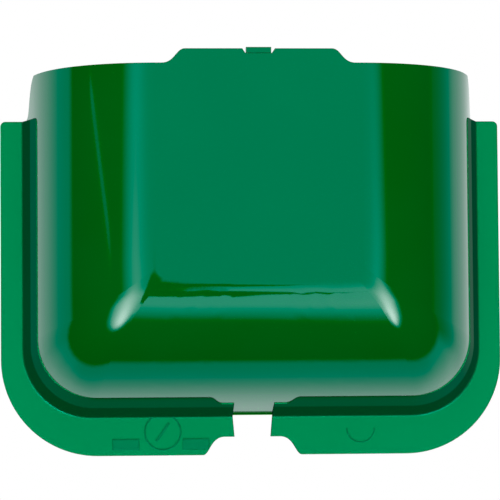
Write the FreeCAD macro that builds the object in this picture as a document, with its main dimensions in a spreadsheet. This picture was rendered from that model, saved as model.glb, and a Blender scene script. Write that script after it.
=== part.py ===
import FreeCAD, Part
import math
import os
import Sketcher
from FreeCAD import Placement, Rotation, Vector

# Wall-hung wasp trap: a green catch pocket that slides up out of a dovetail frame,
# closed at the back by a sealed panel and on top by a hinged lid with two entry cones
# and a lift-out bait cup.  +Z up, +Y towards the wall, X to the right seen from the room.
# Origin: midway between the two wall screw holes, on the wall face of the back plate.

doc = FreeCAD.newDocument("wasp_trap")
sheet = doc.addObject("Spreadsheet::Sheet", "Sizes")

DRIVING = {
    # flange, skirt and wall plate
    "flange_half": 80.0, "flange_bottom": -112.8, "flange_top": -6.0,
    "flange_front": -4.6, "flange_thick": 1.8, "flange_corner": 30.7,
    "opening_half": 73.0, "opening_bottom": -100.5, "opening_corner": 21.7,
    "skirt_fillet": 0.7, "skirt_knee": 6.8, "skirt_knee_in": 2.5, "skirt_knee_rise": 2.9,
    "skirt_depth": 13.3, "skirt_edge_in": 4.5, "skirt_edge_rise": 6.1, "skirt_end_round": 2.0,
    "skirt_relief_depth": 8.6, "skirt_relief_half": 14.6, "pocket_clearance": 0.1,
    "plate_thick": 1.6, "plate_inset": 0.8, "plate_head_half": 62.0, "plate_head_top": 5.0,
    "wall_hole_half_pitch": 50.0, "wall_hole_radius": 2.25,
    "peg_radius": 1.5, "peg_clearance": 0.05, "peg_short": 0.4,
    "notch_half": 16.0, "notch_rise": 5.8, "slot_half": 6.35, "slot_taper": 0.55,
    "flange_tip_round": 1.6, "shoulder_reach": 4.8, "corner_tighten": 0.6,
    "mark_lift": 0.15, "mark_sink": 0.25, "dial_x": -28.7, "dial_z": -105.3,
    "dial_radius": 5.9, "dial_line": 0.4, "arrow_long": 7.0, "arrow_wide": 0.7,
    "arrow_turn": 35.0, "pad_mark_wide": 8.5, "pad_mark_tall": 3.5, "pad_mark_low": -111.0,
    "ring_x": 34.6, "ring_z": -104.6, "ring_radius": 4.6, "ring_line": 0.3,
    "rib_half": 48.0, "rib_tall": 1.6, "rib_proud": 0.8, "head_round": 8.0,
    "land_gap": 0.9, "slot_top": -85.0, "plate_slot_top": -97.5,
    # catch pocket
    "pocket_rear": -3.2, "pocket_half": 71.5, "pocket_bottom": -99.1, "pocket_depth": 43.2,
    "side_slope": 0.2, "side_inset": 39.5, "bottom_slope": 0.29, "bottom_inset": 41.0,
    "nose_power": 3.0, "pocket_corner": 21.0, "face_corner": 3.0,
    "skin": 1.6, "rim_height": 7.8, "tab_height": 4.4, "tab_base_half": 28.3,
    "tab_top_half": 22.6, "hem_start": 0.4, "hem_depth": 1.2, "hem_flare": 0.9,
    "rear_relief": 10.4,
    # rear panel, its seal and screws
    "panel_rear": -9.2, "panel_thick": 1.6, "panel_top": 4.2, "seal_width": 1.3,
    "seal_gap": 0.05, "boss_radius": 3.2, "boss_end": -24.0, "screw_radius": 1.4,
    "screw_head_radius": 2.7, "screw_head_tall": 1.6, "screw_length": 8.0,
    "pilot_radius": 1.42, "pilot_length": 10.0,
    # lid and hinge
    "hinge_depth": -13.6, "hinge_height": 3.8, "pin_radius": 1.0, "pin_clearance": 0.05,
    "knuckle_radius": 2.6, "ear_inner": 30.0, "ear_width": 3.0, "ear_pitch": 20.0,
    "lid_bottom": 3.0, "lid_thick": 1.6, "lid_front": -44.3, "lid_rear": -11.2,
    "lid_gap": 0.6, "lid_half": 64.0, "catch_half": 3.9, "catch_notch_deep": 1.4,
    "catch_thick": 1.8, "riser_half": 9.0, "riser_thick": 1.6, "ear_room": 0.3, "fit_gap": 0.05,
    # entry cones and bait cup
    "cone_offset": 36.0, "cone_line": -29.0, "cone_rim": 12.4, "cone_mouth": 11.0,
    "cone_throat": 4.2, "cone_drop": 23.0, "cone_skin": 1.0, "rim_thick": 1.2,
    "cup_rim": 13.5, "cup_mouth": 12.4, "cup_floor_radius": 9.5, "cup_drop": 17.0,
    "cap_radius": 13.2, "cap_plug": 11.1, "knob_radius": 4.0, "knob_tall": 3.0,
    "vent_radius": 1.2, "vent_circle": 7.4, "vent_count": 8,
    "pad_radius": 7.9, "pad_tall": 8.0,
}
for row, (alias, value) in enumerate(DRIVING.items(), start=1):
    sheet.set("A%d" % row, alias)
    sheet.set("B%d" % row, str(value))
    sheet.setAlias("B%d" % row, alias)
doc.recompute()
SUBPARTS = []
PEGS = [(76.8, -16.0), (76.8, -62.0), (47.0, -106.8), (22.0, -104.8)]
PANEL_SCREWS = [(62.4, -14.0), (62.4, -60.0), (36.0, -87.4)]
PLATE_RIBS = (-30.0, -58.0, -86.0)
PAD_MARKS = (-44.7, -22.4)
BOTH_SIDES = (-1, 1)
SIDE_NAME = {-1: "left", 1: "right"}
NOSE_STEPS = 15
ROUND_STEPS = 6
PAST = 1.0          # how far a cutting form runs past the surface it opens
CLEAR_OF_ALL = -6.0  # a start well behind every rear face, for the pocket's form


def size(alias):
    """A driving dimension, read from the sheet."""
    return float(sheet.get(alias))


# ---------------------------------------------------------------- document helpers
def bind(item, **sizes):
    for name, formula in sizes.items():
        item.setExpression(name.replace("__", "."), formula)
    return item


def subpart(item, label):
    item.Label = label
    SUBPARTS.append(item)
    return item


def shaped(name, shape, label=None):
    """A free-form piece whose shape is made by formula from the sheet's sizes."""
    item = doc.addObject("Part::Feature", name)
    item.Shape = shape
    item.Placement = Placement()
    return subpart(item, label) if label else item


def boolean(kind, name, base, tool):
    item = doc.addObject("Part::" + kind, name)
    item.Base = base
    item.Tool = tool
    return item


def group(name, items):
    item = doc.addObject("Part::Compound", name)
    item.Links = items
    return item


def fused(name, items):
    item = doc.addObject("Part::MultiFuse", name)
    item.Shapes = items
    return item


def box(name, x_from, x_to, y_from, y_to, z_from, z_to):
    """A Part::Box between limits given as formulas of the sheet's sizes."""
    item = doc.addObject("Part::Box", name)
    bind(item, Length="(%s) - (%s)" % (x_to, x_from), Width="(%s) - (%s)" % (y_to, y_from),
         Height="(%s) - (%s)" % (z_to, z_from), Placement__Base__x=x_from,
         Placement__Base__y=y_from, Placement__Base__z=z_from)
    return item


def rod(name, axis, radius, length, x, y, z):
    """A Part::Cylinder from a start point along X, Y (both towards plus) or Z."""
    item = doc.addObject("Part::Cylinder", name)
    turn = {"x": Rotation(Vector(0, 1, 0), 90), "y": Rotation(Vector(1, 0, 0), -90),
            "z": Rotation()}[axis]
    item.Placement = Placement(Vector(0, 0, 0), turn)
    bind(item, Radius=radius, Height=length, Placement__Base__x=x, Placement__Base__y=y,
         Placement__Base__z=z)
    return item


def origin_plane(body, role):
    return [feature for feature in body.Origin.OriginFeatures if feature.Role == role][0]


def turned_body(name, points, x="0 mm", y="0 mm", z="0 mm"):
    """A PartDesign body turned about its own vertical axis from a closed outline.

    The outline's points are (radius, height) pairs of formulas, each bound to the sheet.
    """
    body = doc.addObject("PartDesign::Body", name)
    sketch = body.newObject("Sketcher::SketchObject", name + "_outline")
    sketch.AttachmentSupport = [(origin_plane(body, "XZ_Plane"), "")]
    sketch.MapMode = "FlatFace"
    places = [Vector(*(float(sheet.evalExpression(term)) for term in pair), 0)
              for pair in points]
    count = len(points)
    for index in range(count):
        sketch.addGeometry(Part.LineSegment(places[index], places[(index + 1) % count]))
    for index in range(count):
        sketch.addConstraint(
            Sketcher.Constraint("Coincident", index, 2, (index + 1) % count, 1))
    for index, (radius, height) in enumerate(points):
        for kind, term, value in (("DistanceX", radius, places[index].x),
                                  ("DistanceY", height, places[index].y)):
            datum = sketch.addConstraint(Sketcher.Constraint(kind, -1, 1, index, 1, value))
            sketch.setExpression("Constraints[%d]" % datum, term)
    turn = body.newObject("PartDesign::Revolution", name + "_turn")
    turn.Profile = sketch
    turn.ReferenceAxis = (sketch, ["V_Axis"])
    turn.Angle = 360
    body.Tip = turn
    bind(body, Placement__Base__x=x, Placement__Base__y=y, Placement__Base__z=z)
    return body


# ---------------------------------------------------------------- outlines by formula
def u_outline(half, bottom, top, corner, y):
    """A closed outline in the plane y: upright sides, round lower corners, flat top."""
    mid = corner * (1 - math.sqrt(0.5))
    points = [Vector(-half, y, top), Vector(-half, y, bottom + corner),
              Vector(-half + corner, y, bottom), Vector(half - corner, y, bottom),
              Vector(half, y, bottom + corner), Vector(half, y, top)]
    left = Vector(-half + mid, y, bottom + mid)
    right = Vector(half - mid, y, bottom + mid)
    return Part.Wire([
        Part.makeLine(points[0], points[1]),
        Part.Arc(points[1], left, points[2]).toShape(),
        Part.makeLine(points[2], points[3]),
        Part.Arc(points[3], right, points[4]).toShape(),
        Part.makeLine(points[4], points[5]),
        Part.makeLine(points[5], points[0])])


def u_slab(half, bottom, top, corner, y_from, y_to):
    face = Part.Face(u_outline(half, bottom, top, corner, y_from))
    return face.extrude(Vector(0, y_to - y_from, 0))


def pocket_inset(depth, skin, slope, full):
    """How far a wall has moved in at a depth in front of the pocket's rear edge.

    The wall starts with a plain slope and bends over to meet the front face squarely,
    full millimetres in.  The same rule with a skin gives the wall's inner surface.
    """
    reach = size("pocket_depth") - skin
    thick = skin * math.hypot(1, slope)
    share = min(1.0, max(0.0, depth / reach))
    bend = 1 - math.sqrt(1 - share ** size("nose_power"))
    return depth * slope + thick + (full - thick - reach * slope) * bend


def pocket_section(depth, skin, top):
    """The pocket's closed U outline at a depth in front of its rear edge."""
    full = size("side_inset")
    side = pocket_inset(depth, skin, size("side_slope"), full)
    below = pocket_inset(depth, skin, size("bottom_slope"), size("bottom_inset"))
    share = min(1.0, max(0.0, 1 - side / full))
    corner = size("face_corner") + (size("pocket_corner") - size("face_corner")) * share ** 1.6
    return u_outline(size("pocket_half") - side, size("pocket_bottom") + below, top,
                     corner - min(0.0, side), size("pocket_rear") - depth)


def pocket_form(skin, top, rear_depth=-1.0):
    """The pocket's outer form, or the same form set in by a skin, up to the height top."""
    reach = size("pocket_depth") - skin
    depths = []
    for step in range(NOSE_STEPS + 1):
        lean = math.pi / 2 * step / NOSE_STEPS
        depths.append(reach * math.sin(lean) ** (2 / size("nose_power")))
    rear = Part.makeLoft([pocket_section(depth, skin, top) for depth in (rear_depth, 0.0)],
                         True, True)
    nose = Part.makeLoft([pocket_section(depth, skin, top) for depth in depths], True, False)
    return rear.fuse(nose)


def slab(y_from, y_to, z_from, z_to, half=90.0):
    return Part.makeBox(2 * half, y_to - y_from, z_to - z_from, Vector(-half, y_from, z_from))


def side_prism(outline, half=90.0):
    """A closed (y, z) outline run through the whole width."""
    points = [Vector(-half, y, z) for y, z in outline]
    face = Part.Face(Part.makePolygon(points + points[:1]))
    return face.extrude(Vector(2 * half, 0, 0))


def curve_points(poles, count=16):
    """Points along a smooth curve drawn by its control points."""
    curve = Part.BezierCurve()
    curve.setPoles([Vector(a, b, 0) for a, b in poles])
    return [(point.x, point.y) for point in curve.discretize(count)]


def front_prism(poles, y_from, y_to):
    """A symmetric prism along Y; a smooth curve drawn by (x, z) poles bounds the +X side."""
    edges = []
    for side in BOTH_SIDES:
        curve = Part.BezierCurve()
        curve.setPoles([Vector(side * x, y_from, z) for x, z in poles])
        edges.append(curve.toShape())
    for x, z in (poles[0], poles[-1]):
        edges.append(Part.makeLine(Vector(-x, y_from, z), Vector(x, y_from, z)))
    wire = Part.Wire(Part.__sortEdges__(edges))
    return Part.Face(wire).extrude(Vector(0, y_to - y_from, 0))


def notch_prism(grow, y_from, y_to):
    """The wide finger notch in the bottom edge, with S-shaped shoulders."""
    half, low = size("notch_half") + grow, size("flange_bottom")
    high = low + size("notch_rise") + grow
    bend = size("shoulder_reach") / 2
    shoulder = front_prism([(half, low - 0.02), (half - bend, low - 0.02), (half - bend, high),
                            (half - 3 * bend, high)], y_from, y_to)
    return shoulder.fuse(Part.makeBox(2 * half, y_to - y_from, PAST,
                                      Vector(-half, y_from, low - PAST)))


def slot_prism(grow, y_from, y_to, top):
    """The narrow bottom slot, a little narrower at its lower end."""
    wide, taper = size("slot_half") + grow, size("slot_taper")
    knee, low = size("opening_bottom"), size("flange_bottom")
    outline = [(wide, top), (wide, knee), (wide - taper, low + size("notch_rise")),
               (wide - taper, low - PAST)]
    points = [Vector(x, y_from, z) for x, z in outline]
    points += [Vector(-x, y_from, z) for x, z in reversed(outline)]
    return Part.Face(Part.makePolygon(points + points[:1])).extrude(Vector(0, y_to - y_from, 0))


# ---------------------------------------------------------------- the wall bracket
def skirt_section(forward, side_in, bottom_in):
    """The skirt's U outline at a depth in front of the flange face."""
    corner = size("opening_corner") - size("corner_tighten") * max(side_in, bottom_in)
    return u_outline(size("opening_half") - side_in, size("opening_bottom") + bottom_in,
                     size("flange_top"), corner, size("flange_front") - forward)


def skirt_outer():
    """The skirt's outer form: a fillet on the flange and two sloping bands."""
    fillet, knee, knee_in = size("skirt_fillet"), size("skirt_knee"), size("skirt_knee_in")
    lean = math.atan(knee_in / knee)
    foot = fillet * (1 / math.cos(lean) - math.tan(lean))
    sections = [skirt_section(-size("flange_thick"), -foot, -foot),
                skirt_section(0.0, -foot, -foot)]
    sweep = math.pi / 2 - lean
    for step in range(1, ROUND_STEPS):
        angle = sweep * step / (ROUND_STEPS - 1)
        inward = fillet * math.sin(angle) - foot
        sections.append(skirt_section(fillet - fillet * math.cos(angle), inward, inward))
    sections.append(skirt_section(knee, knee_in, size("skirt_knee_rise")))
    sections.append(skirt_section(size("skirt_depth"), size("skirt_edge_in"),
                                  size("skirt_edge_rise")))
    return Part.makeLoft(sections, True, True)


def ring_mark(name, face):
    """A raised ring line on the flange; its place and radius come from the sheet."""
    tall = size("mark_lift") + size("mark_sink")
    start = Vector(size(name + "_x"), face - size("mark_lift"), size(name + "_z"))
    radius, line = size(name + "_radius"), size(name + "_line")
    disc = Part.makeCylinder(radius, tall, start, Vector(0, 1, 0))
    return disc.cut(Part.makeCylinder(radius - line, tall, start, Vector(0, 1, 0)))


def flange_marks(face):
    """Plain mould marks on the flange: a dial with a pointer, two pads and a half ring."""
    top, tall = face - size("mark_lift"), size("mark_lift") + size("mark_sink")
    dial_x, dial_z = size("dial_x"), size("dial_z")
    wide, length = size("arrow_wide"), size("arrow_long")
    arrow = Part.makeBox(wide, tall, length,
                         Vector(dial_x - wide / 2, top, dial_z - length / 2))
    arrow.rotate(Vector(dial_x, face, dial_z), Vector(0, 1, 0), size("arrow_turn"))
    half_ring = ring_mark("ring", face).cut(
        slab(top - PAST, face + PAST, size("ring_z"), size("flange_top")))
    marks = [ring_mark("dial", face), arrow, half_ring]
    for x in PAD_MARKS:
        marks.append(Part.makeBox(size("pad_mark_wide"), tall, size("pad_mark_tall"),
                                  Vector(x, top, size("pad_mark_low"))))
    return marks


def skirt_end_prism():
    """What the rounded upper ends of the skirt lack, run through the whole width."""
    free_edge, top = size("flange_front") - size("skirt_depth"), size("flange_top")
    radius = size("skirt_end_round")
    corner = []
    for step in range(ROUND_STEPS + 1):
        angle = math.pi / 2 * step / ROUND_STEPS
        corner.append((free_edge + radius * (1 - math.sin(angle)),
                       top - radius * (1 - math.cos(angle))))
    return side_prism(corner + [(free_edge - PAST, top - radius), (free_edge - PAST, top + PAST),
                                (free_edge + radius, top + PAST)])


def skirt_relief_prism():
    """Beside the slot the skirt is shorter, with S-shaped shoulders in plan."""
    half, shallow = size("skirt_relief_half"), size("flange_front") - size("skirt_relief_depth")
    deep = size("flange_front") - size("skirt_depth") - 0.02
    bend = size("shoulder_reach") / 2
    shoulder = curve_points([(half, deep), (half - bend, deep), (half - bend, shallow),
                             (half - 2 * bend, shallow)])
    outline = [(half, deep - PAST)] + shoulder
    low, high = size("opening_bottom") + PAST, size("slot_top")
    points = [Vector(x, y, low) for x, y in outline]
    points += [Vector(-x, y, low) for x, y in reversed(outline)]
    return Part.Face(Part.makePolygon(points + points[:1])).extrude(Vector(0, 0, high - low))


def make_clip_frames():
    """Both halves of the U frame; the bottom slot parts them into left and right."""
    front, thick = size("flange_front"), size("flange_thick")
    flange = u_slab(size("flange_half"), size("flange_bottom"), size("flange_top"),
                    size("flange_corner"), front, front + thick)
    tips = [edge for edge in flange.Edges
            if abs(abs(edge.CenterOfMass.x) - size("flange_half")) < 0.01
            and abs(edge.CenterOfMass.z - size("flange_top")) < 0.01]
    flange = flange.makeFillet(size("flange_tip_round"), tips)
    shape = flange.fuse(skirt_outer()).removeSplitter()
    shape = shape.fuse(flange_marks(front)).removeSplitter()
    shape = shape.cut(pocket_form(-size("pocket_clearance"), size("flange_top") + PAST,
                                  CLEAR_OF_ALL))
    skirt_end = front - size("skirt_depth") - PAST
    shape = shape.cut([skirt_end_prism(), skirt_relief_prism(),
                       slot_prism(0.0, skirt_end, front + thick + PAST, size("slot_top")),
                       notch_prism(0.0, front - PAST, front + thick + PAST)])
    pegs = [Part.makeCylinder(size("peg_radius"), -(front + thick) - size("peg_short"),
                              Vector(side * x, front + thick, z), Vector(0, 1, 0))
            for x, z in PEGS for side in BOTH_SIDES]
    shape = shape.fuse(pegs).removeSplitter()
    wide, low = size("flange_half") + PAST, size("flange_bottom") - PAST
    for side in BOTH_SIDES:
        half = Part.makeBox(wide, PAST - skirt_end, PAST - low,
                            Vector(min(side * wide, 0), skirt_end, low))
        name = "clip_frame_" + SIDE_NAME[side]
        shaped(name, shape.common(half), name)


def make_back_plate():
    inset, thick = size("plate_inset"), size("plate_thick")
    half, low = size("flange_half") - inset, size("flange_bottom") + inset
    corner, top = size("flange_corner") - inset, size("flange_top") - inset
    land_front = size("flange_front") + size("flange_thick")
    sheet_form = u_slab(half, low, top, corner, -thick, 0)
    head_half, head_top = size("plate_head_half"), size("plate_head_top")
    head = slab(-thick, 0.0, PLATE_RIBS[0], head_top, head_half)
    corners = [edge for edge in head.Edges
               if abs(abs(edge.CenterOfMass.x) - head_half) < 0.01
               and abs(edge.CenterOfMass.z - head_top) < 0.01]
    head = head.makeFillet(size("head_round"), corners)
    land = u_slab(half, low, top, corner, land_front, -thick)
    land = land.cut(u_slab(size("opening_half") + size("land_gap"),
                           size("opening_bottom") - size("land_gap"), top + PAST,
                           size("opening_corner"), land_front - PAST, -thick))
    shape = sheet_form.fuse([head, land]).removeSplitter()
    shape = shape.cut(slot_prism(inset, land_front - PAST, PAST, size("plate_slot_top")))
    shape = shape.cut(notch_prism(inset, land_front - PAST, PAST))
    wall_hole = (size("wall_hole_half_pitch"), 0.0, size("wall_hole_radius"))
    peg_hole = size("peg_radius") + size("peg_clearance")
    for x, z, radius in [wall_hole] + [(x, z, peg_hole) for x, z in PEGS]:
        for side in BOTH_SIDES:
            start = Vector(side * x, land_front - PAST, z)
            shape = shape.cut(Part.makeCylinder(radius, 2 * PAST - land_front, start,
                                                Vector(0, 1, 0)))
    for z in PLATE_RIBS:
        rib = slab(-thick - size("rib_proud"), -thick, z, z + size("rib_tall"),
                   size("rib_half"))
        shape = shape.fuse(rib)
    return shaped("back_plate", shape.removeSplitter(), "back_plate")


# ---------------------------------------------------------------- the catch pocket
def catch_notch(face, tab_z):
    """The notch in the top of the tab that the lid's catch snaps into, wider at the top."""
    low, high = size("catch_half") + 0.2, size("catch_half") + 1.2
    floor = tab_z - size("catch_notch_deep")
    outline = [(-high, tab_z + 0.1), (high, tab_z + 0.1), (low, floor), (-low, floor)]
    points = [Vector(x, face - PAST, z) for x, z in outline]
    face_form = Part.Face(Part.makePolygon(points + points[:1]))
    return face_form.extrude(Vector(0, size("skin") + 2 * PAST, 0))


def make_catch_pocket():
    rim, rear = size("rim_height"), size("pocket_rear")
    face = rear - size("pocket_depth")
    skin = size("skin")
    start = size("hem_start")
    outer = pocket_form(0.0, rim, -start)
    shell = outer.cut(pocket_form(skin, rim + PAST, CLEAR_OF_ALL))
    flare, hem = size("hem_flare"), size("hem_depth")
    half = size("pocket_half") + start * size("side_slope")
    low = size("pocket_bottom") - start * size("bottom_slope")
    corner = size("pocket_corner")
    hem_top = size("flange_top") - 1.0
    hem_out = Part.makeLoft([
        u_outline(half, low, hem_top, corner, rear + start),
        u_outline(half + flare, low - flare, hem_top, corner + flare, rear + hem)], True, True)
    hem_in = Part.makeLoft([
        u_outline(half - skin + grow, low + skin - grow, rim + PAST,
                  corner - size("corner_tighten") * skin + grow, y)
        for grow, y in ((0.0, rear + start), (flare, rear + hem))], True, True)
    shell = shell.fuse(hem_out.cut(hem_in)).removeSplitter()
    tab_base, tab_top = size("tab_base_half"), size("tab_top_half")
    tab_z = rim + size("tab_height")
    tab = front_prism([(tab_base + 1.6, rim), (tab_base - 2.6, rim),
                       (tab_top + 2.9, tab_z), (tab_top, tab_z)], face, face + skin)
    foot = slab(face, face + skin, rim - PAST, rim, tab_base)
    shell = shell.fuse([tab, foot]).removeSplitter().cut(catch_notch(face, tab_z))
    relief, foot_z = size("rear_relief"), size("flange_top") + 1.0
    edge = curve_points([(rear, foot_z), (rear - 0.36 * relief, foot_z + 0.5),
                         (rear - 0.30 * relief, rim - 3.0), (rear - relief, rim + 0.02)])
    shell = shell.cut(side_prism(edge + [(rear - relief, rim + PAST),
                                         (rear + hem + PAST, rim + PAST),
                                         (rear + hem + PAST, foot_z)]))
    panel_front = size("panel_rear") - size("panel_thick")
    boss_rear, toward_room = panel_front - size("fit_gap"), Vector(0, -1, 0)
    bosses, pilots = [], []
    for x, z in PANEL_SCREWS:
        for side in BOTH_SIDES:
            bosses.append(Part.makeCylinder(size("boss_radius"), boss_rear - size("boss_end"),
                                            Vector(side * x, boss_rear, z), toward_room))
            pilots.append(Part.makeCylinder(size("pilot_radius"), size("pilot_length"),
                                            Vector(side * x, boss_rear + PAST, z), toward_room))
    shell = shell.fuse([boss.common(outer) for boss in bosses]).removeSplitter().cut(pilots)
    return shaped("catch_pocket", shell, "catch_pocket")


def panel_level(skin):
    rear, front = size("panel_rear"), size("panel_rear") - size("panel_thick")
    return pocket_form(skin, size("panel_top"), CLEAR_OF_ALL).common(
        slab(front, rear, size("flange_bottom"), size("rim_height")))


def make_panel_seal():
    seal = panel_level(size("skin") + size("seal_gap"))
    seal = seal.cut(pocket_form(size("skin") + size("seal_width"), size("panel_top") + PAST,
                                CLEAR_OF_ALL))
    return shaped("panel_seal", seal, "panel_seal")


def make_rear_panel():
    """The flat rear wall of the pocket with four hinge ears along its top edge."""
    plate = shaped("panel_plate", panel_level(size("skin") + size("seal_width")
                                              + size("seal_gap")))
    ears, bores = [], []
    for side in BOTH_SIDES:
        for number in (0, 1):
            name = "%s_%d" % (SIDE_NAME[side], number)
            inner = "%d * (ear_inner + %d * ear_pitch)" % (side, number)
            inner = inner.replace("ear", "Sizes.ear")
            start = inner if side > 0 else inner + " - Sizes.ear_width"
            ears.append(box("ear_" + name, start, start + " + Sizes.ear_width",
                            "Sizes.hinge_depth", "Sizes.panel_rear - Sizes.panel_thick / 2",
                            "Sizes.hinge_height - Sizes.knuckle_radius",
                            "Sizes.hinge_height + Sizes.knuckle_radius"))
            ears.append(rod("ear_end_" + name, "x", "Sizes.knuckle_radius", "Sizes.ear_width",
                            start, "Sizes.hinge_depth", "Sizes.hinge_height"))
            bores.append(rod("ear_bore_" + name, "x", "Sizes.pin_radius + 0.02",
                             "Sizes.ear_width + 2", start + " - 1", "Sizes.hinge_depth",
                             "Sizes.hinge_height"))
    for number, (x, z) in enumerate(PANEL_SCREWS):
        for side in BOTH_SIDES:
            bores.append(rod("panel_hole_%d_%d" % (number, side + 1), "y",
                             "Sizes.screw_radius + 0.1", "Sizes.panel_thick + 2",
                             str(side * x), "Sizes.panel_rear - Sizes.panel_thick - 1", str(z)))
    solid = fused("panel_with_ears", [plate] + ears)
    return subpart(boolean("Cut", "rear_panel", solid, group("panel_bores", bores)),
                   "rear_panel")


def make_panel_screws():
    screws = []
    for number, (x, z) in enumerate(PANEL_SCREWS):
        for side in BOTH_SIDES:
            tag = "%d_%d" % (number, side + 1)
            head = rod("screw_head_" + tag, "y", "Sizes.screw_head_radius",
                       "Sizes.screw_head_tall", str(side * x), "Sizes.panel_rear + 0.02", str(z))
            shank = rod("screw_shank_" + tag, "y", "Sizes.screw_radius",
                        "Sizes.screw_length + 0.02", str(side * x),
                        "Sizes.panel_rear - Sizes.screw_length", str(z))
            recess = rod("screw_recess_" + tag, "y", "0.9", "1.2", str(side * x),
                         "Sizes.panel_rear + Sizes.screw_head_tall - 0.9", str(z))
            whole = fused("screw_blank_" + tag, [head, shank])
            screws.append(boolean("Cut", "screw_" + tag, whole, recess))
    return subpart(group("panel_screws", screws), "panel_screws")


# ---------------------------------------------------------------- the lid
def make_entry_lid():
    """A recessed lid plate with hinge barrels at the back and a snap catch in front."""
    plan = pocket_form(size("skin") + size("lid_gap"), size("rim_height"), CLEAR_OF_ALL)
    plate_slab = slab(size("lid_front"), size("lid_rear"), size("lid_bottom"),
                      size("lid_bottom") + size("lid_thick"), size("lid_half"))
    plate = shaped("lid_plate", plan.common(plate_slab))
    tab_top = "Sizes.rim_height + Sizes.tab_height"
    catch_low = tab_top + " - Sizes.catch_notch_deep + Sizes.fit_gap"
    riser_rear = "Sizes.lid_front + Sizes.riser_thick"
    solids = [plate,
              box("catch_riser", "-Sizes.riser_half", "Sizes.riser_half", "Sizes.lid_front",
                  riser_rear, "Sizes.lid_bottom", catch_low),
              box("catch_tongue", "-Sizes.catch_half", "Sizes.catch_half",
                  "Sizes.pocket_rear - Sizes.pocket_depth + 0.25", riser_rear,
                  catch_low, catch_low + " + Sizes.catch_thick")]
    cuts = []
    for side in BOTH_SIDES:
        tag = SIDE_NAME[side]
        near = "%d * (Sizes.ear_inner + Sizes.ear_width + Sizes.ear_room)" % side
        far = "%d * (Sizes.ear_inner + Sizes.ear_pitch - Sizes.ear_room)" % side
        start, end = (near, far) if side > 0 else (far, near)
        solids.append(rod("barrel_" + tag, "x", "Sizes.knuckle_radius - 0.2",
                          "(%s) - (%s)" % (end, start), start, "Sizes.hinge_depth",
                          "Sizes.hinge_height"))
        cuts.append(rod("barrel_bore_" + tag, "x", "Sizes.pin_radius + Sizes.pin_clearance",
                        "(%s) - (%s) + 2" % (end, start), start + " - 1",
                        "Sizes.hinge_depth", "Sizes.hinge_height"))
        for number in (0, 1):
            inner = "%d * (Sizes.ear_inner + %d * Sizes.ear_pitch)" % (side, number)
            low = inner if side > 0 else inner + " - Sizes.ear_width"
            cuts.append(box("ear_room_%s_%d" % (tag, number), low + " - Sizes.ear_room",
                            low + " + Sizes.ear_width + Sizes.ear_room",
                            "Sizes.hinge_depth - Sizes.knuckle_radius - 0.4", "0",
                            "Sizes.lid_bottom - 4", "Sizes.lid_bottom + 8"))
        cuts.append(rod("cone_hole_" + tag, "z", "Sizes.cone_mouth + 0.25", "20",
                        "%d * Sizes.cone_offset" % side, "Sizes.cone_line",
                        "Sizes.lid_bottom - 10"))
    cuts.append(rod("cup_hole", "z", "Sizes.cup_mouth + 0.3", "20", "0", "Sizes.cone_line",
                    "Sizes.lid_bottom - 10"))
    solid = fused("lid_blank", solids)
    return subpart(boolean("Cut", "entry_lid", solid, group("lid_cuts", cuts)), "entry_lid")


def make_hinge_pins():
    pins = []
    for side in BOTH_SIDES:
        start = "%d * (Sizes.ear_inner + 0.2)" % side
        if side < 0:
            start += " - Sizes.ear_pitch - Sizes.ear_width + 0.4"
        pins.append(rod("pin_" + SIDE_NAME[side], "x", "Sizes.pin_radius",
                        "Sizes.ear_pitch + Sizes.ear_width - 0.4", start, "Sizes.hinge_depth",
                        "Sizes.hinge_height"))
    return subpart(group("hinge_pins", pins), "hinge_pins")


def make_entry_cone(name, side):
    rim, skin = "Sizes.rim_thick", "Sizes.cone_skin"
    outline = [("Sizes.cone_throat", "-Sizes.cone_drop"),
               ("Sizes.cone_mouth", "0 - Sizes.lid_thick"), ("Sizes.cone_mouth", "0"),
               ("Sizes.cone_rim", "0"), ("Sizes.cone_rim", rim),
               ("Sizes.cone_mouth - %s" % skin, rim),
               ("Sizes.cone_mouth - %s" % skin, "0 - Sizes.lid_thick"),
               ("Sizes.cone_throat - %s" % skin, "-Sizes.cone_drop")]
    body = turned_body(name, outline, "%d * Sizes.cone_offset" % side, "Sizes.cone_line",
                       "Sizes.lid_bottom + Sizes.lid_thick + Sizes.fit_gap")
    return subpart(body, name)


# ---------------------------------------------------------------- the bait cup
def make_bait_cup():
    outline = [("0", "-Sizes.cup_drop"), ("Sizes.cup_floor_radius", "-Sizes.cup_drop"),
               ("Sizes.cup_mouth", "0 - Sizes.lid_thick"), ("Sizes.cup_mouth", "0"),
               ("Sizes.cup_rim", "0"), ("Sizes.cup_rim", "Sizes.rim_thick"),
               ("Sizes.cup_mouth - 1", "Sizes.rim_thick"),
               ("Sizes.cup_mouth - 1", "0 - Sizes.lid_thick"),
               ("Sizes.cup_floor_radius - 1", "-Sizes.cup_drop + 1.2"),
               ("0", "-Sizes.cup_drop + 1.2")]
    body = turned_body("bait_cup", outline, "0", "Sizes.cone_line",
                       "Sizes.lid_bottom + Sizes.lid_thick + Sizes.fit_gap")
    return subpart(body, "bait_cup")


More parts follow.
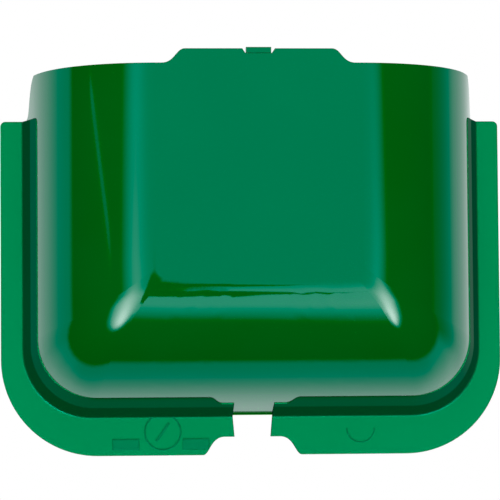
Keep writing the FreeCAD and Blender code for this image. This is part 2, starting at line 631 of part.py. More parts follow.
def make_bait_cap():
    """A vented cap that plugs into the cup, with a low finger knob."""
    outline = [("0", "0"), ("Sizes.cap_plug - 1.2", "0"), ("Sizes.cap_plug - 1.2", "-2.4"),
               ("Sizes.cap_plug - 0.1", "-2.4"), ("Sizes.cap_plug", "0"),
               ("Sizes.cap_radius", "0"), ("Sizes.cap_radius", "0.8"),
               ("Sizes.knob_radius + 1", "1.4"), ("Sizes.knob_radius", "1 + Sizes.knob_tall"),
               ("0", "1.4 + Sizes.knob_tall")]
    blank = turned_body("cap_blank", outline, "0", "Sizes.cone_line",
                        "Sizes.lid_bottom + Sizes.lid_thick + Sizes.rim_thick"
                        " + 2 * Sizes.fit_gap")
    vents = []
    for number in range(int(size("vent_count"))):
        angle = math.radians(360 / size("vent_count") * (number + 0.5))
        vents.append(rod("vent_%d" % number, "z", "Sizes.vent_radius", "12",
                         "%.6f * Sizes.vent_circle" % math.cos(angle),
                         "Sizes.cone_line + %.6f * Sizes.vent_circle" % math.sin(angle),
                         "Sizes.lid_bottom"))
    return subpart(boolean("Cut", "bait_cap", blank, group("cap_vents", vents)), "bait_cap")


def make_lure_pad():
    outline = [("0", "0"), ("Sizes.pad_radius - 0.8", "0"), ("Sizes.pad_radius", "0.8"),
               ("Sizes.pad_radius", "Sizes.pad_tall - 0.8"),
               ("Sizes.pad_radius - 0.8", "Sizes.pad_tall"), ("0", "Sizes.pad_tall")]
    body = turned_body("lure_pad", outline, "0", "Sizes.cone_line",
                       "Sizes.lid_bottom + Sizes.lid_thick - Sizes.cup_drop + 1.3")
    return subpart(body, "lure_pad")


# ---------------------------------------------------------------- build, check and write
make_back_plate()
make_clip_frames()
make_catch_pocket()
make_rear_panel()
make_panel_seal()
make_panel_screws()
make_entry_lid()
make_hinge_pins()
make_entry_cone("entry_cone_left", -1)
make_entry_cone("entry_cone_right", 1)
make_bait_cup()
make_bait_cap()
make_lure_pad()
doc.recompute()

for item in doc.Objects:
    if "Invalid" in item.State or "Error" in item.State:
        raise RuntimeError("%s did not build: %s" % (item.Name, item.State))
os.makedirs("parts", exist_ok=True)
for item in SUBPARTS:
    if item.Shape.isNull() or not item.Shape.isValid():
        raise RuntimeError("%s has no valid shape" % item.Label)
    item.Shape.exportStep("parts/%s.step" % item.Label)
    box_now = item.Shape.BoundBox
    print("%-18s solids %d volume %9.1f  x %.1f..%.1f  y %.1f..%.1f  z %.1f..%.1f" % (
        item.Label, len(item.Shape.Solids), item.Shape.Volume, box_now.XMin, box_now.XMax,
        box_now.YMin, box_now.YMax, box_now.ZMin, box_now.ZMax))
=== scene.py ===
import math
import random

import bmesh
import bpy
from mathutils import Matrix, Vector


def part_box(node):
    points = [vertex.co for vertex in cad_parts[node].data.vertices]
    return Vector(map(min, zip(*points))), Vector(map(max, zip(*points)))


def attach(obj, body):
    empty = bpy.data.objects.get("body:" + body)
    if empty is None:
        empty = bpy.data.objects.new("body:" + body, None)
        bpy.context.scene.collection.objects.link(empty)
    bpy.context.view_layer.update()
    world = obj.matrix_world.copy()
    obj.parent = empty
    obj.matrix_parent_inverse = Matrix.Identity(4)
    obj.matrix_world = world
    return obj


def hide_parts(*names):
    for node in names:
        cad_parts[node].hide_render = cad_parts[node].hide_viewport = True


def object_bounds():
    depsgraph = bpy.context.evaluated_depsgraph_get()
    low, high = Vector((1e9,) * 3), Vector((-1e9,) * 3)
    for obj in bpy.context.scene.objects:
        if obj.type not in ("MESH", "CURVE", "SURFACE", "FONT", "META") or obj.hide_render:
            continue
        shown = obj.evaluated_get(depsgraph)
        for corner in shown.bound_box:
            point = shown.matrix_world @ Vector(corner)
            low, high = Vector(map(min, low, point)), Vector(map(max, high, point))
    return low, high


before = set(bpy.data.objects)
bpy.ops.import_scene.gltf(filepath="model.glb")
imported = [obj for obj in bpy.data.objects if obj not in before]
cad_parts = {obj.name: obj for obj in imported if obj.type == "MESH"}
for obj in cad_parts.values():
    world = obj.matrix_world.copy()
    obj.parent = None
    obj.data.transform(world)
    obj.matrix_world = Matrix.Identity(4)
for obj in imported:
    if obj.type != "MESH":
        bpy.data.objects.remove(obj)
cad_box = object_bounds()
MM = 0.001

# the camera: angles in degrees, distances in metres, focal length in millimetres
AZIMUTH, ELEVATION, ROLL = -3.775, -3.396, -0.459
DISTANCE, LENS, NEAREST = 0.9034, 202.95, 0.01
TARGET = Vector((-0.38, -4.6, -47.34)) * MM


# ---------------------------------------------------------------- node helpers
class Shader:
    """A short way to write node trees: each call adds a node and returns an output."""

    def __init__(self, tree):
        self.tree = tree

    def node(self, kind, inputs=None, **settings):
        """Adds a node whose inputs are values or other outputs, and returns the node itself."""
        item = self.tree.nodes.new(kind)
        for name, value in settings.items():
            setattr(item, name, value)
        for key, value in (inputs or {}).items():
            if isinstance(value, bpy.types.NodeSocket):
                self.tree.links.new(value, item.inputs[key])
            else:
                item.inputs[key].default_value = value
        return item

    def math(self, operation, *values, clamp=False):
        item = self.node("ShaderNodeMath", dict(enumerate(values)), operation=operation)
        item.use_clamp = clamp
        return item.outputs[0]

    def vector(self, operation, *values):
        item = self.node("ShaderNodeVectorMath", dict(enumerate(values)), operation=operation)
        return item.outputs["Value" if operation == "DOT_PRODUCT" else "Vector"]

    def split(self, vector):
        return self.node("ShaderNodeSeparateXYZ", {0: vector}).outputs

    def add(self, first, *others):
        for other in others:
            first = self.math("ADD", first, other)
        return first

    def times(self, first, *others):
        for other in others:
            first = self.math("MULTIPLY", first, other)
        return first

    def without(self, share):
        return self.math("SUBTRACT", 1.0, share)

    def ramp(self, value, low, high, to_low=0.0, to_high=1.0):
        """A smooth step from to_low to to_high as value goes from low to high."""
        item = self.node("ShaderNodeMapRange", {0: value, 1: low, 2: high, 3: to_low, 4: to_high},
                         interpolation_type="SMOOTHSTEP")
        return item.outputs[0]

    def fade(self, value, low, high):
        """1 up to low, then smoothly down to 0 at high."""
        return self.ramp(value, low, high, 1.0, 0.0)

    def line(self, value, low, high, to_low=0.0, to_high=1.0):
        """A straight, clamped change from to_low to to_high."""
        return self.node("ShaderNodeMapRange",
                         {0: value, 1: low, 2: high, 3: to_low, 4: to_high}).outputs[0]

    def away(self, value, centre, half, power=2.0):
        """How far value lies from centre, in half widths, raised to a power."""
        offset = self.math("ABSOLUTE", self.math("SUBTRACT", value, centre))
        return self.math("POWER", self.math("DIVIDE", offset, half), power)

    def bell(self, squared_distance):
        """A bell curve: 1 in its middle."""
        return self.math("EXPONENT", self.times(squared_distance, -1.0))

    def bump_of(self, height, strength, distance, normal=None):
        inputs = {"Height": height, "Strength": strength, "Distance": distance}
        if normal:
            inputs["Normal"] = normal
        return self.node("ShaderNodeBump", inputs).outputs[0]

    def noise(self, coords, scale, detail=2.0):
        return self.node("ShaderNodeTexNoise", {"Vector": coords, "Scale": scale,
                                                "Detail": detail}).outputs["Fac"]

    def mix(self, factor, first, second):
        item = self.node("ShaderNodeMix", {0: factor, 6: first, 7: second}, data_type="RGBA")
        return item.outputs[2]


# ---------------------------------------------------------------- the studio seen in gloss
# Directions from the object, in degrees: a turn is counted to the right from the camera's
# side, a rise upwards from level.  A pair says where a change starts and ends.  A glow of 1
# is as bright as the white behind the object.  A square of 2 is an oval, and more is squarer.

# the round soft light behind the camera
LIGHT_TURN, LIGHT_HALF_WIDE, LIGHT_SQUARE_WIDE = 2.0, 34.4, 2.8
LIGHT_RISE, LIGHT_HALF_TALL, LIGHT_SQUARE_TALL = -19.0, 33.0, 2.6
LIGHT_RIM = (0.55, 1.35)                   # in shares of its half size
LIGHT_FOOT, FOOT_LEAN = (-51.0, -38.0), 0.08
LOW_GLOW, HIGH_GLOW, GLOW_CHANGE = 4.1, 2.28, (-14.0, -3.0)
LIGHT_DIM = (-50.0, -27.0)                 # its lowest part is dim
HOT_SIDES = (dict(turn=-15.0, width=9.5, high=1.5, low=11.0),
             dict(turn=24.5, width=7.6, high=0.8, low=12.5))
HOT_CHANGE = (-34.0, 5.0)                  # the rises that their low and high glows are for

# the dark camera stand in front of it: an upright oval, two arms to the right, a thin leg
STAND_TURN, STAND_HALF_WIDE = 2.4, 4.3
STAND_RISE, STAND_HALF_TALL = -11.0, 13.5
STAND_RIM = (0.75, 1.2)                    # in shares of its half size
ARMS = (dict(rise=-16.4, reach=10.0, thick=4.0), dict(rise=-7.4, reach=9.3, thick=2.6))
ARM_START, ARM_TAPER, ARM_TIP, ARM_SOFT = (-1.0, 2.0), 6.0, -0.3, 0.5
LEG_TURN, LEG_HALF_WIDE, LEG_RIM = 3.4, 0.9, (0.6, 1.5)
LEG_BOTTOM, LEG_TOP = (-30.0, -26.0), (-12.0, -10.0)

# a thin bright cable far to the left
CABLE_START, CABLE_END = (-64.0, -60.0), (-44.0, -38.0)
CABLE_SPAN, CABLE_RISES = (-62.0, -40.0), (6.8, 3.4)
CABLE_HALF, CABLE_GLOW = 0.3, 1.8

# the white wall behind the object; front is 1 towards the camera and -1 towards the wall
WALL_EDGE, WALL_LEAN = (-0.02, 0.13), -0.07
WALL_SPAN, WALL_GLOWS = (-0.97, -0.55), (1.1, 1.55)
CORNER_BOTTOM, CORNER_TOP, CORNER_GAIN = (-62.0, -42.0), (-30.0, -12.0), 1.2
DIM_SPAN, DIM_SHARES = (84.0, 128.0), (0.75, 0.12)
DIM_START, DIM_BOTTOM = (0.0, 1.0), (-32.0, -12.0)

# a weak light overhead
OVERHEAD_RISE, OVERHEAD_GLOW = (40.0, 70.0), 0.9


def round_light(make, turn, rise):
    """The light's soft rim, its even middle and its two hot sides, brighter low down."""
    rim = make.add(make.away(turn, LIGHT_TURN, LIGHT_HALF_WIDE, LIGHT_SQUARE_WIDE),
                   make.away(rise, LIGHT_RISE, LIGHT_HALF_TALL, LIGHT_SQUARE_TALL))
    leaning = make.add(rise, make.times(turn, FOOT_LEAN))
    inside = make.times(make.fade(rim, *LIGHT_RIM), make.ramp(leaning, *LIGHT_FOOT))
    glow = make.times(make.ramp(rise, *GLOW_CHANGE, LOW_GLOW, HIGH_GLOW),
                      make.ramp(rise, *LIGHT_DIM))
    for hot in HOT_SIDES:
        spread = make.bell(make.away(turn, hot["turn"], hot["width"]))
        strength = make.line(rise, *HOT_CHANGE, hot["low"], hot["high"])
        glow = make.add(glow, make.times(spread, strength))
    return make.times(glow, inside)


def camera_stand(make, turn, rise):
    """How much of the light the camera stand hides."""
    oval = make.add(make.away(turn, STAND_TURN, STAND_HALF_WIDE),
                    make.away(rise, STAND_RISE, STAND_HALF_TALL))
    dark = make.fade(oval, *STAND_RIM)
    for arm in ARMS:
        half = make.line(turn, ARM_TAPER, arm["reach"], arm["thick"], ARM_TIP)
        degrees_off = make.away(rise, arm["rise"], 1.0, 1.0)
        past = make.math("SUBTRACT", degrees_off, half)
        hidden = make.times(make.fade(past, -ARM_SOFT, ARM_SOFT), make.ramp(turn, *ARM_START))
        dark = make.math("MAXIMUM", dark, hidden)
    leg = make.times(make.fade(make.away(turn, LEG_TURN, LEG_HALF_WIDE), *LEG_RIM),
                     make.ramp(rise, *LEG_BOTTOM), make.fade(rise, *LEG_TOP))
    return make.math("MAXIMUM", dark, leg)


def bright_cable(make, turn, rise):
    """A bell-shaped streak that slopes down to the right."""
    along = make.times(make.ramp(turn, *CABLE_START), make.fade(turn, *CABLE_END))
    offset = make.away(rise, make.line(turn, *CABLE_SPAN, *CABLE_RISES), CABLE_HALF)
    return make.times(along, make.bell(offset), CABLE_GLOW)


def white_wall(make, front, turn, rise, height):
    """The wall behind the object: brightest beside it and low down, dim on the right."""
    turned = make.add(front, make.times(height, WALL_LEAN))
    wall = make.times(make.fade(turned, *WALL_EDGE), make.line(front, *WALL_SPAN, *WALL_GLOWS))
    corner = make.times(make.ramp(rise, *CORNER_BOTTOM), make.fade(rise, *CORNER_TOP))
    wall = make.times(wall, make.line(corner, 0.0, 1.0, 1.0, CORNER_GAIN))
    dim = make.times(make.ramp(turn, *DIM_SPAN, *DIM_SHARES), make.ramp(turn, *DIM_START),
                     make.ramp(rise, *DIM_BOTTOM))
    return make.times(wall, make.without(dim))


def make_studio_glow():
    """A node group: how bright the studio is in a direction, for reflections only."""
    tree = bpy.data.node_groups.new("studio_glow", "ShaderNodeTree")
    tree.interface.new_socket("Direction", in_out="INPUT", socket_type="NodeSocketVector")
    tree.interface.new_socket("Glow", in_out="OUTPUT", socket_type="NodeSocketFloat")
    make = Shader(tree)
    x, y, z = make.split(make.node("NodeGroupInput").outputs[0])
    degrees = math.degrees(1)
    around = make.math("ARCTAN2", x, make.times(y, -1.0))
    turn = make.add(make.times(around, degrees), -AZIMUTH)
    rise = make.times(make.math("ARCSINE", z), degrees)
    side = math.radians(AZIMUTH)
    front = make.add(make.times(x, math.sin(side)), make.times(y, -math.cos(side)))
    light = make.times(round_light(make, turn, rise),
                       make.without(camera_stand(make, turn, rise)))
    glow = make.add(light, bright_cable(make, turn, rise),
                    white_wall(make, front, turn, rise, z),
                    make.ramp(rise, *OVERHEAD_RISE, 0.0, OVERHEAD_GLOW))
    make.node("NodeGroupOutput", {0: glow})
    return tree


STUDIO_GLOW = make_studio_glow()


def studio_glow(make, direction):
    group = make.node("ShaderNodeGroup")
    group.node_tree = STUDIO_GLOW
    make.tree.links.new(direction, group.inputs[0])
    return group.outputs[0]


# ---------------------------------------------------------------- materials
# noise scales are in cells per metre
def new_material(name):
    material = bpy.data.materials.new(name)
    material.use_nodes = True
    material.node_tree.nodes.clear()
    return material, Shader(material.node_tree)


def grey(value):
    return (value, value, value, 1.0)


# green plastic
REFRACTION = 1.5
RED_ABSORBED, BLUE_ABSORBED = 0.150, 0.018
GRAZING_LIT = 0.35                         # the pigment's part in a grazing view
LEAST_SHINE = 0.0001
SATIN_GLOW = 2.7       # the studio's usual glow, for finishes too rough to mirror one spot
SATIN_FROM = 0.25      # the roughness at which a finish counts as satin
FLOW_SCALE, FLOW_DETAIL, FLOW_TONES = 22.0, 3.0, (0.35, 0.65)
RUB_SCALE, RUB_DETAIL, RUB_TONES = 90.0, 5.0, (0.45, 0.75)
FLOW_BUMP, FLOW_HEIGHT, GRAIN_HEIGHT = 0.02, 0.2 * MM, 0.05 * MM
SMALL_ROUNDING, FRAME_ROUNDING = 0.25 * MM, 0.5 * MM
EDGE_BEND = (0.80, 0.99)                   # cosines of the bend between which an edge fades
# painted shade: near every edge and crease the colour is mixed towards a near-black green, less
# on faces that look at the room; the same green also gives the mould marks their own darker tone
SHADE_AND_MARK_GREEN, EDGE_SHADE, EDGE_DULL = (0.0, 0.03, 0.005, 1.0), 0.6, 0.1

# the frame's upstanding skirt and its mould marks
SKIRT_PROUD, KNEE_PROUD, MARK_PROUD = 13.3 * MM, 6.8 * MM, 0.15 * MM
FLANGE_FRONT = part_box("clip_frame_left")[0][1] + SKIRT_PROUD
SKIRT_KNEE, MARK_FACE = FLANGE_FRONT - KNEE_PROUD, FLANGE_FRONT - MARK_PROUD
KNEE_ABOVE, KNEE_BELOW = 0.3 * MM, 0.2 * MM
MARK_REACH, MARK_RIM, MARK_DARK = 0.08 * MM, (0.2, 1.0), 0.42
WALL_TO_FACE = (0.55, 0.9)                 # how squarely walls and faces look at the room
# painted shade on the skirt's walls: the shares of their colour and of their gleam that are kept,
# at the top and at the foot
SHADE_TOP, SHADE_FOOT = 0.56, 0.38
GLEAM_TOP, GLEAM_FOOT = 0.13, 0.05
FACE_EDGE_SHADE = 0.22
WALL_ROUGH, FULLY_SQUARE = 0.3, (0.96, 0.995)


def skirt_shading(make, coords, normal, colour):
    """Painted shade: walls that stand up from the flange get a darker colour and a weaker gleam,
    most of all at their foot.

    Returns the shaded colour, how much of the gleam is left, and how squarely the
    surface faces the room.
    """
    square = make.math("ABSOLUTE", make.split(normal)[1])
    depth = make.split(coords["Object"])[1]
    foot = make.ramp(depth, SKIRT_KNEE - KNEE_ABOVE, SKIRT_KNEE + KNEE_BELOW)
    face = make.ramp(square, *WALL_TO_FACE)
    shade = make.mix(face, make.mix(foot, grey(SHADE_TOP), grey(SHADE_FOOT)), grey(1.0))
    gleam = make.mix(face, make.mix(foot, grey(GLEAM_TOP), grey(GLEAM_FOOT)), grey(1.0))
    mark = make.ramp(make.away(depth, MARK_FACE, MARK_REACH), *MARK_RIM, MARK_DARK, 0.0)
    shaded = make.vector("MULTIPLY", colour, shade)
    return make.mix(make.times(mark, face), shaded, SHADE_AND_MARK_GREEN), gleam, square


def clear_skin(make, mirror, normal, roughness, glow):
    """The glassy skin: it loses the red and blue that the pigment below it absorbs."""
    facing = make.node("ShaderNodeLayerWeight", {"Blend": 0.5, "Normal": normal})
    lit = make.line(facing.outputs["Facing"], 0.0, 1.0, 1.0, GRAZING_LIT)
    shine = make.math("MAXIMUM", make.times(mirror, glow), LEAST_SHINE)
    tints = []
    for absorbed in (RED_ABSORBED, 0.0, BLUE_ABSORBED):
        lost = make.math("DIVIDE", make.times(lit, absorbed), shine)
        tints.append(make.math("SUBTRACT", 1.0, lost, clamp=True))
    tint = make.node("ShaderNodeCombineColor", dict(enumerate(tints))).outputs[0]
    return make.node("ShaderNodeBsdfGlossy", {"Color": tint, "Roughness": roughness,
                                              "Normal": normal}).outputs[0]


def green_plastic(name, deep, light, roughness, grain, grain_scale=900.0, worn=0.012,
                  skirt=False):
    """Saturated green moulded plastic under a clear, glassy skin.

    The pigment absorbs red, and a little blue, so strongly that a reflection only turns
    white where it is bright or grazing.
    """
    material, make = new_material(name)
    coords = make.node("ShaderNodeTexCoord").outputs
    flow = make.noise(coords["Object"], FLOW_SCALE, FLOW_DETAIL)
    rubbed = make.noise(coords["Object"], RUB_SCALE, RUB_DETAIL)
    colour = make.mix(make.ramp(flow, *FLOW_TONES), (*deep, 1.0), (*light, 1.0))

    rounding = FRAME_ROUNDING if skirt else SMALL_ROUNDING
    rounded = make.node("ShaderNodeBevel", {"Radius": rounding}, samples=6).outputs[0]
    true_normal = make.node("ShaderNodeNewGeometry").outputs["Normal"]
    edge = make.fade(make.vector("DOT_PRODUCT", rounded, true_normal), *EDGE_BEND)
    fine = make.noise(coords["Object"], grain_scale)
    normal = make.bump_of(fine, grain, GRAIN_HEIGHT, rounded)
    normal = make.bump_of(flow, FLOW_BUMP, FLOW_HEIGHT, normal)

    mirror = make.node("ShaderNodeFresnel", {"IOR": REFRACTION, "Normal": normal}).outputs[0]
    rough = make.add(make.ramp(rubbed, *RUB_TONES, roughness, roughness + worn),
                     make.times(edge, EDGE_DULL))
    edge_shade_share = EDGE_SHADE
    if skirt:
        # painted shade: the skirt's walls are darkened and their gleam is weakened
        colour, gleam, square = skirt_shading(make, coords, true_normal, colour)
        edge_shade_share = make.ramp(square, *WALL_TO_FACE, EDGE_SHADE, FACE_EDGE_SHADE)
        mirror = make.times(mirror, gleam)
        rough = make.times(rough, make.ramp(square, *FULLY_SQUARE, WALL_ROUGH, 1.0))
    # painted shade: the colour near edges and creases is mixed towards near-black green
    colour = make.mix(make.times(edge, edge_shade_share), colour, SHADE_AND_MARK_GREEN)
    satin = roughness > SATIN_FROM
    glow = SATIN_GLOW if satin else studio_glow(make, coords["Reflection"])

    body = make.node("ShaderNodeBsdfDiffuse", {"Color": colour, "Normal": normal})
    skin = clear_skin(make, mirror, normal, rough, glow)
    layered = make.node("ShaderNodeMixShader", {0: mirror, 1: body.outputs[0], 2: skin})
    make.node("ShaderNodeOutputMaterial", {"Surface": layered.outputs[0]})
    return material


# milky plastic, rubber and steel
PATCH = 12                                 # a patch of tone is as wide as 12 grains
PATCH_DETAIL, PATCH_TONES = 4.0, (0.3, 0.7)
GRAIN_DETAIL, GRAIN_TONES, GRAIN_RELIEF = 3.0, (0.35, 0.7), 0.1 * MM
ROUGHEST, SOFT_ROUNDING = 1.4, 0.2 * MM    # ROUGHEST is a share of the usual roughness
SCATTER_COLOURS, SCATTER_DEPTH = (1.0, 0.95, 0.8), 1.5 * MM


def soft_material(name, dark, light, roughness, scale, grain, scatter=0.0, metal=0.0):
    """Two mixed tones with grain, for milky plastic, rubber and steel."""
    material, make = new_material(name)
    place = make.node("ShaderNodeTexCoord").outputs["Object"]
    tone = make.noise(place, scale / PATCH, PATCH_DETAIL)
    fine = make.noise(place, scale, GRAIN_DETAIL)
    colour = make.mix(make.ramp(tone, *PATCH_TONES), (*dark, 1.0), (*light, 1.0))
    rounded = make.node("ShaderNodeBevel", {"Radius": SOFT_ROUNDING}, samples=4).outputs[0]
    shader = make.node("ShaderNodeBsdfPrincipled", {
        "Base Color": colour, "Metallic": metal, "IOR": REFRACTION,
        "Roughness": make.ramp(fine, *GRAIN_TONES, roughness, roughness * ROUGHEST),
        "Normal": make.bump_of(fine, grain, GRAIN_RELIEF, rounded),
        "Subsurface Weight": scatter, "Subsurface Radius": SCATTER_COLOURS,
        "Subsurface Scale": SCATTER_DEPTH})
    make.node("ShaderNodeOutputMaterial", {"Surface": shader.outputs[0]})
    return material


# felt
FIBRE_SCALE, FIBRE_TANGLE, FIBRE_DETAIL, FIBRE_FINE = 180.0, 30.0, 6.0, 4.0
LUMP_SCALE, LUMP_DETAIL, MATTED_TONES = 350.0, 6.0, (0.1, 0.6)
FELT_DARK, FELT_LIGHT = (0.42, 0.32, 0.16, 1.0), (0.74, 0.64, 0.40, 1.0)
FELT_ROUGH, SHEEN, SHEEN_ROUGH = 0.95, 0.5, 0.5
FELT_BUMP, FELT_RELIEF = 0.7, 0.4 * MM


def felt():
    """Pressed straw-coloured felt: matted fibres, lighter tips and a soft sheen."""
    material, make = new_material("lure_felt")
    place = make.node("ShaderNodeTexCoord").outputs["Object"]
    fibres = make.node("ShaderNodeTexWave", {
        "Vector": place, "Scale": FIBRE_SCALE, "Distortion": FIBRE_TANGLE,
        "Detail": FIBRE_DETAIL, "Detail Scale": FIBRE_FINE}).outputs["Fac"]
    tone = make.times(fibres, make.noise(place, LUMP_SCALE, LUMP_DETAIL))
    colour = make.mix(make.ramp(tone, *MATTED_TONES), FELT_DARK, FELT_LIGHT)
    shader = make.node("ShaderNodeBsdfPrincipled", {
        "Base Color": colour, "Roughness": FELT_ROUGH, "Sheen Weight": SHEEN,
        "Sheen Roughness": SHEEN_ROUGH, "Normal": make.bump_of(tone, FELT_BUMP, FELT_RELIEF)})
    make.node("ShaderNodeOutputMaterial", {"Surface": shader.outputs[0]})
    return material


POCKET = green_plastic("glossy_green", deep=(0.0, 0.120, 0.004), light=(0.0, 0.126, 0.006),
                       roughness=0.045, grain=0.03)
FRAME = green_plastic("frame_green", deep=(0.0, 0.172, 0.034), light=(0.0, 0.184, 0.040),
                      roughness=0.45, grain=0.06, skirt=True)
CAP = green_plastic("cap_green", deep=(0.0, 0.150, 0.014), light=(0.0, 0.165, 0.018),
                    roughness=0.18, grain=0.15)
PLATE = green_plastic("plate_green", deep=(0.0, 0.105, 0.010), light=(0.0, 0.125, 0.016),
                      roughness=0.38, grain=0.6, grain_scale=2500.0, worn=0.08)
MILKY = soft_material("milky_plastic", dark=(0.66, 0.67, 0.60), light=(0.78, 0.78, 0.71),
                      roughness=0.28, scale=900.0, grain=0.05, scatter=0.6)
RUBBER = soft_material("seal_rubber", dark=(0.012, 0.012, 0.013), light=(0.035, 0.035, 0.035),
                       roughness=0.6, scale=3000.0, grain=0.5)
STEEL = soft_material("plain_steel", dark=(0.50, 0.50, 0.49), light=(0.66, 0.66, 0.65),
                      roughness=0.22, scale=2200.0, grain=0.08, metal=1.0)
FELT = felt()
NODE_MATERIALS = {
    "back_plate": PLATE, "rear_panel": PLATE, "clip_frame_left": FRAME,
    "clip_frame_right": FRAME, "catch_pocket": POCKET, "entry_lid": POCKET,
    "entry_cone_left": MILKY, "entry_cone_right": MILKY, "bait_cup": MILKY,
    "bait_cap": CAP, "panel_seal": RUBBER, "panel_screws": STEEL, "hinge_pins": STEEL}
for node, material in NODE_MATERIALS.items():
    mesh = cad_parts[node].data
    mesh.materials.clear()
    mesh.materials.append(material)
# the pocket's grazing sides mirror the white wall, not the thin frame close beside them
for node in ("clip_frame_left", "clip_frame_right", "back_plate"):
    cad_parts[node].visible_glossy = False


# ---------------------------------------------------------------- the felt lure pad
PAD_RINGS, PAD_SPOKES = 14, 96
PAD_SEED, WAVE_COUNT = 7, 7
WAVES_ROUND, WAVE_SIZES = (2, 9), (0.3, 1.0)
PAD_SHARE = 0.97                           # how much of its CAD solid the pad fills
RING_CROWDING, RIM_SHARPNESS = 0.55, 9     # below 1, the rings crowd towards the rim
CROWN_ROUND, CROWN_FLAT = 0.62, 0.38       # shares of a rounded and of a flatter crown
RIPPLE_OUT, RIPPLE_UP, RIPPLE_TWIST, RIM_PRESSED = 0.012, 0.03, 5, 0.04
WELD = 0.02 * MM


def make_felt_pad():
    """A thick felt disc: crowned faces, matted rim and an uneven pressed surface."""
    low, high = (Vector(corner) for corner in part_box("lure_pad"))
    centre, half = (low + high) / 2, (high - low) / 2
    random.seed(PAD_SEED)
    waves = [(random.randint(*WAVES_ROUND), random.uniform(0, math.tau),
              random.uniform(*WAVE_SIZES)) for _ in range(WAVE_COUNT)]

    def uneven(angle, share):
        return sum(size * math.sin(count * angle + phase + RIPPLE_TWIST * share)
                   for count, phase, size in waves) / len(waves)

    shares = [math.sin(math.pi / 2 * step / PAD_RINGS) ** RING_CROWDING
              for step in range(PAD_RINGS + 1)]
    profile = [(share, 1) for share in shares] + [(share, -1) for share in reversed(shares)]
    form = bmesh.new()
    loops = []
    for share, side in profile:
        loop = []
        rim = 1 - share ** RIM_SHARPNESS
        crown = CROWN_ROUND * rim ** 0.5 + CROWN_FLAT * rim
        for spoke in range(PAD_SPOKES):
            angle = math.tau * spoke / PAD_SPOKES
            ripple = uneven(angle, share)
            radius = half.x * PAD_SHARE * share * (1 + RIPPLE_OUT * ripple * share)
            swell = 1 + RIPPLE_UP * ripple - RIM_PRESSED * share
            height = half.z * PAD_SHARE * side * crown * swell
            offset = Vector((radius * math.cos(angle), radius * math.sin(angle), height))
            loop.append(form.verts.new(centre + offset))
        loops.append(loop)
    for first, second in zip(loops, loops[1:]):
        for spoke in range(PAD_SPOKES):
            after = (spoke + 1) % PAD_SPOKES
            form.faces.new((first[spoke], second[spoke], second[after], first[after]))
    bmesh.ops.remove_doubles(form, verts=form.verts, dist=WELD)
    bmesh.ops.recalc_face_normals(form, faces=form.faces)
    mesh = bpy.data.meshes.new("felt_pad")
    form.to_mesh(mesh)
    form.free()
    mesh.materials.append(FELT)
    for polygon in mesh.polygons:
        polygon.use_smooth = True
    pad = bpy.data.objects.new("felt_pad", mesh)
    bpy.context.collection.objects.link(pad)
    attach(pad, "bait_holder")
    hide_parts("lure_pad")


# ---------------------------------------------------------------- studio
FILL = 0.40                                # the even light from all round
KEY_STRENGTH, KEY_SPREAD = 1.95, 35        # a sun lamp, and its width in degrees
FLOOR_RADIUS, FLOOR_BELOW, FLOOR_FORWARD = 1.6, 0.26, 0.2
FLOOR_SCALE, FLOOR_TONES, FLOOR_GREYS = 6.0, (0.3, 0.7), (0.78, 0.82)
FLOOR_ROUGH, FLOOR_GLOW = 0.8, 0.42


def studio_world():
    """White behind the object, the studio group in reflections, an even fill elsewhere."""
    world = bpy.data.worlds.new("studio")
    world.use_nodes = True
    world.node_tree.nodes.clear()
    make = Shader(world.node_tree)
    direction = make.node("ShaderNodeTexCoord").outputs["Generated"]
    path = make.node("ShaderNodeLightPath").outputs
    light = make.add(make.times(studio_glow(make, direction), path["Is Glossy Ray"]),
                     make.times(path["Is Diffuse Ray"], FILL), path["Is Camera Ray"])
    background = make.node("ShaderNodeBackground", {"Color": grey(1.0), "Strength": light})
    make.node("ShaderNodeOutputWorld", {"Surface": background.outputs[0]})
    bpy.context.scene.world = world


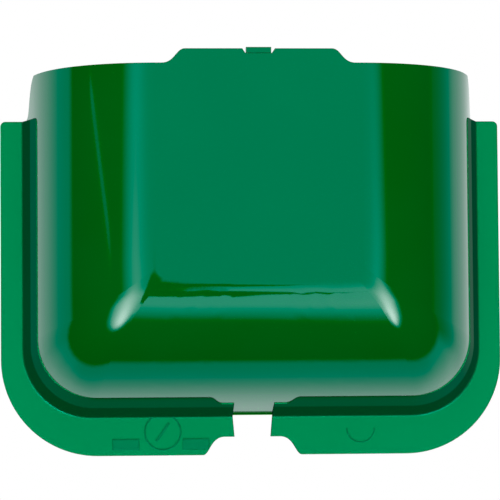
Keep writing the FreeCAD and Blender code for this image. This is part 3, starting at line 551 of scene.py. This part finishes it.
def camera_axes():
    """The camera's right, up and backward directions."""
    turn, lift, roll = (math.radians(angle) for angle in (AZIMUTH, ELEVATION, ROLL))
    back = Vector((math.sin(turn) * math.cos(lift), -math.cos(turn) * math.cos(lift),
                   math.sin(lift)))
    right = Vector((0, 0, 1)).cross(back).normalized()
    up = back.cross(right)
    leaned_right = right * math.cos(roll) + up * math.sin(roll)
    leaned_up = up * math.cos(roll) - right * math.sin(roll)
    return leaned_right, leaned_up, back


def key_light():
    """A broad soft light from the camera's side; the world group stands for its mirror image."""
    lamp = bpy.data.objects.new("key", bpy.data.lights.new("key", "SUN"))
    lamp.data.energy = KEY_STRENGTH
    lamp.data.angle = math.radians(KEY_SPREAD)
    lamp.visible_glossy = False
    lamp.matrix_world = Matrix(camera_axes()).transposed().to_4x4()
    bpy.context.collection.objects.link(lamp)


def pale_floor():
    """A plain pale disc well below the trap, seen only from above and casting no light."""
    place = (0, -FLOOR_FORWARD, cad_box[0][2] - FLOOR_BELOW)
    bpy.ops.mesh.primitive_circle_add(vertices=96, radius=FLOOR_RADIUS, fill_type="NGON",
                                      location=place)
    floor = bpy.context.object
    floor.name = "floor"
    floor.visible_glossy = False
    floor.visible_diffuse = False
    material, make = new_material("pale_floor")
    coords = make.node("ShaderNodeTexCoord").outputs["Object"]
    shade = make.ramp(make.noise(coords, FLOOR_SCALE), *FLOOR_TONES, *FLOOR_GREYS)
    top = make.node("ShaderNodeBsdfPrincipled", {
        "Base Color": shade, "Roughness": FLOOR_ROUGH, "Emission Color": grey(1.0),
        "Emission Strength": FLOOR_GLOW})
    below = make.node("ShaderNodeBsdfTransparent")
    facing = make.node("ShaderNodeNewGeometry").outputs["Backfacing"]
    both = make.node("ShaderNodeMixShader", {0: facing, 1: top.outputs[0],
                                             2: below.outputs[0]})
    make.node("ShaderNodeOutputMaterial", {"Surface": both.outputs[0]})
    floor.data.materials.append(material)


def place_camera():
    axes = camera_axes()
    camera = bpy.data.objects.new("camera", bpy.data.cameras.new("camera"))
    camera.data.lens = LENS
    camera.data.clip_start = NEAREST
    camera.matrix_world = (Matrix.Translation(TARGET + axes[2] * DISTANCE)
                           @ Matrix(axes).transposed().to_4x4())
    bpy.context.collection.objects.link(camera)
    bpy.context.scene.camera = camera


make_felt_pad()
studio_world()
key_light()
pale_floor()
place_camera()
bpy.context.scene.view_settings.view_transform = "Standard"
